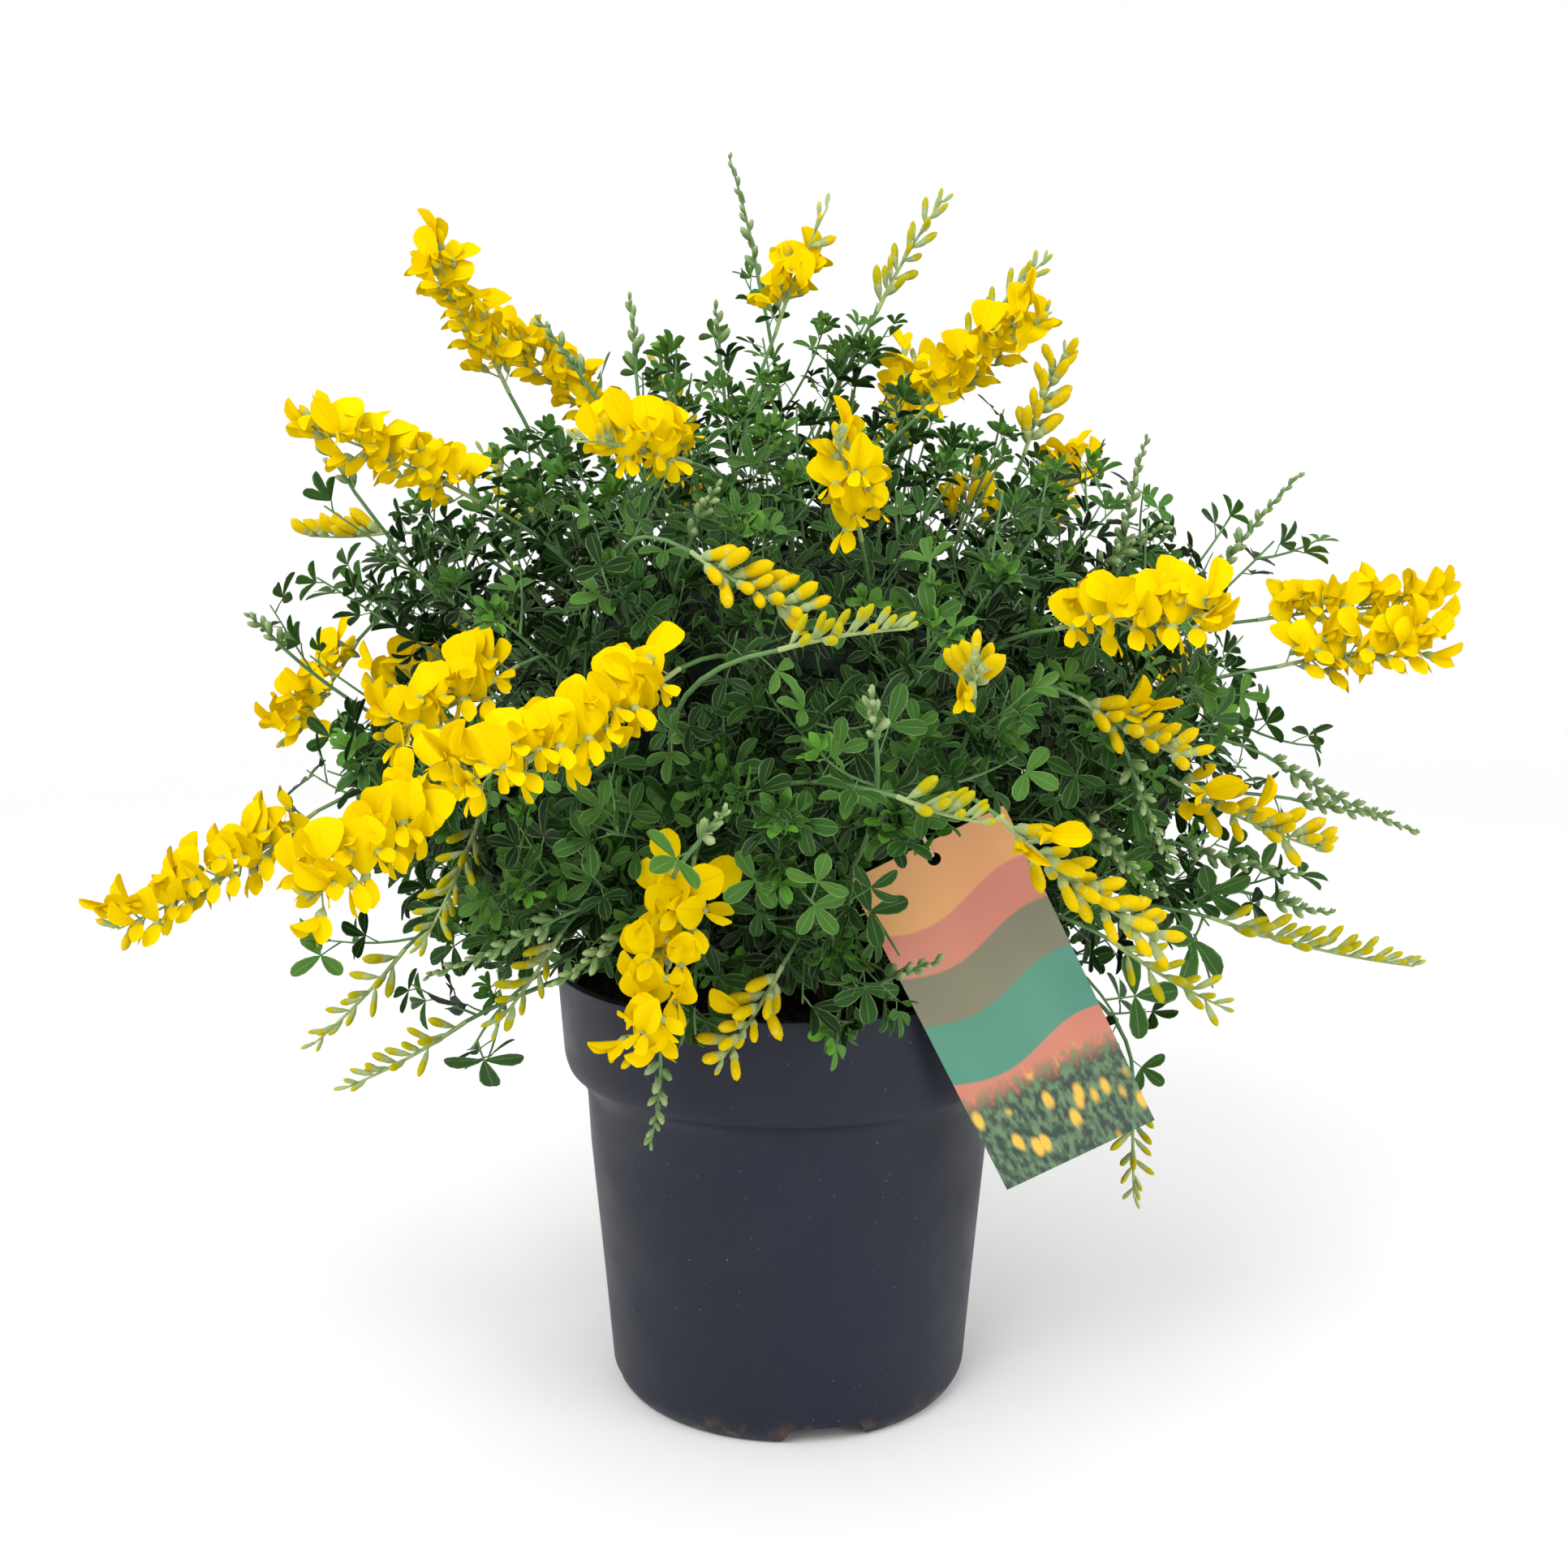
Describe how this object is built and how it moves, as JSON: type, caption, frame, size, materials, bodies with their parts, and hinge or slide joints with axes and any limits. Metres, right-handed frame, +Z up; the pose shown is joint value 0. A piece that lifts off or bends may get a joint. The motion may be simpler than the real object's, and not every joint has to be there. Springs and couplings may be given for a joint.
{
  "type": "potted broom shrub",
  "caption": "Rounded broom shrub with small three-part leaves, yellow pea-flower racemes and green bud spikes, in a dark round plastic nursery pot with a hang card.",
  "frame": {"origin": "centre of the pot's foot, on the surface that the pot stands on", "axes": "+Z up, along the pot's axis; -Y is the front, with the hang card; +X is the viewer's right seen from the front"},
  "size_m": [0.6224, 0.5304, 0.5974],
  "materials": {
    "pot": "dark blue-grey moulded plastic with a dull sheen, fine scuffs and dust",
    "soil": "coarse dark potting compost",
    "foliage": "soft dark green leaves with a pale silky edge on pale green ribbed stems",
    "petal": "satin bright yellow petals",
    "bud": "silky yellow-green buds",
    "label": "coated printed card with a soft gloss",
    "label_tie": "pale twisted tie"
  },
  "bodies": {
    "root": {"pot": "pot", "soil": "soil", "foliage": "foliage", "label": "label", "label_tie": "label_tie", "raceme_01": "petal", "raceme_02": "petal", "raceme_03": "petal", "raceme_04": "petal", "raceme_05": "petal", "raceme_06": "petal", "raceme_07": "petal", "raceme_08": "petal", "raceme_09": "petal", "raceme_10": "petal", "raceme_11": "petal", "raceme_12": "petal", "raceme_13": "petal", "raceme_14": "petal", "raceme_15": "petal", "raceme_16": "petal", "bud_raceme_17": "bud", "bud_raceme_18": "bud", "bud_raceme_19": "bud", "bud_raceme_20": "bud", "bud_raceme_21": "bud", "bud_raceme_22": "bud", "bud_raceme_23": "bud", "bud_raceme_24": "bud", "bud_raceme_25": "bud", "bud_raceme_26": "bud", "bud_raceme_27": "bud", "bud_raceme_28": "bud", "bud_raceme_29": "bud", "bud_raceme_30": "bud", "bud_raceme_31": "bud", "bud_raceme_32": "bud", "bud_raceme_33": "bud", "bud_raceme_34": "bud", "bud_raceme_35": "bud", "bud_raceme_36": "bud", "raceme_37": "petal", "bud_raceme_38": "bud", "raceme_39": "petal", "bud_raceme_40": "bud", "raceme_41": "petal", "bud_raceme_42": "bud", "raceme_43": "petal", "bud_raceme_44": "bud", "raceme_45": "petal", "bud_raceme_46": "bud", "raceme_47": "petal", "bud_raceme_48": "bud", "raceme_49": "petal", "bud_raceme_50": "bud", "raceme_51": "petal"}
  },
  "joints": []
}
